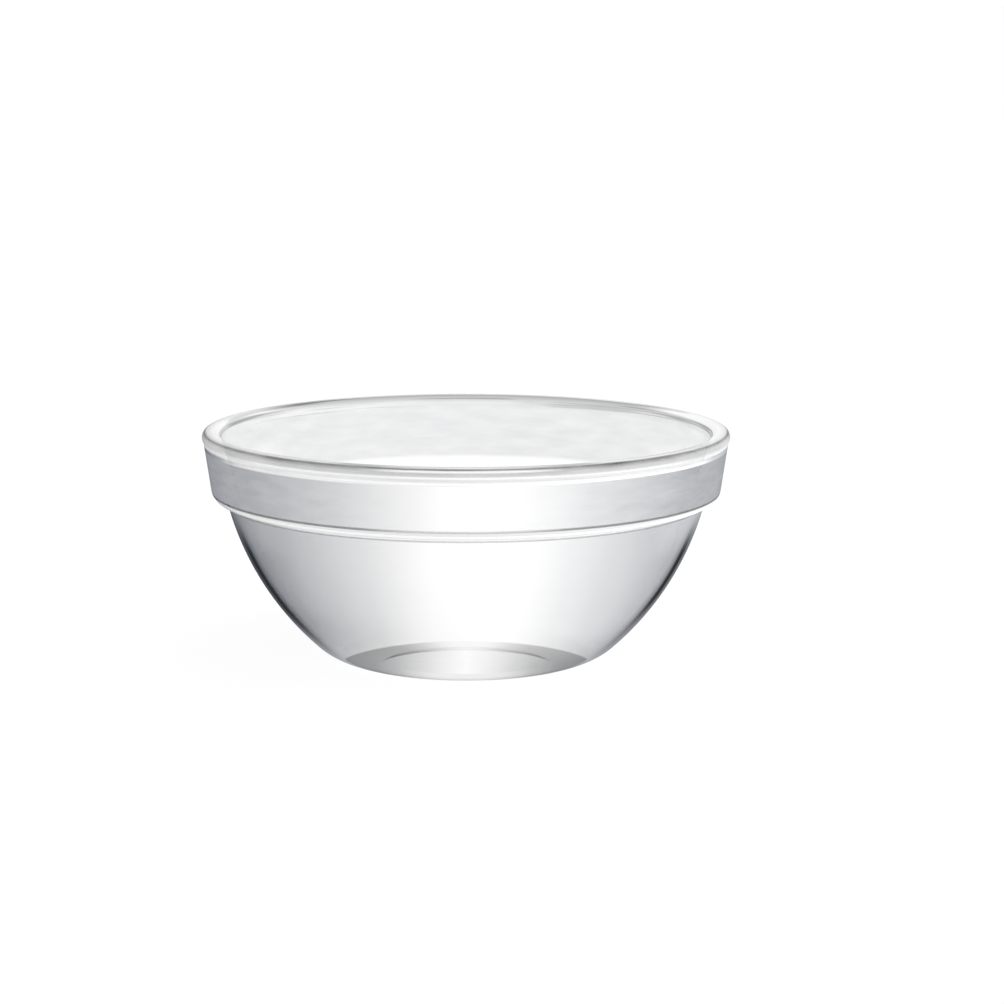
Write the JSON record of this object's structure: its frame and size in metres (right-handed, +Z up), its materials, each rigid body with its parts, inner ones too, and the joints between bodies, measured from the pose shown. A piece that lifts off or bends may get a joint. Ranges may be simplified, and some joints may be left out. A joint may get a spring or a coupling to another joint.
{
  "type": "prep bowl",
  "caption": "Small clear pressed-glass prep bowl with a rounded lip, a raised stacking band under it, a curved lower wall and a ringed flat base.",
  "frame": {"origin": "centre of the standing ring, in the plane of the table", "axes": "+Z up along the bowl's axis of revolution, out of the mouth"},
  "size_m": [0.075, 0.075, 0.033],
  "materials": {
    "clear_glass": "fire-polished clear glass, colourless with a faint cool grey cast at the edges"
  },
  "bodies": {
    "root": {"glass_bowl": "clear_glass"}
  },
  "joints": []
}
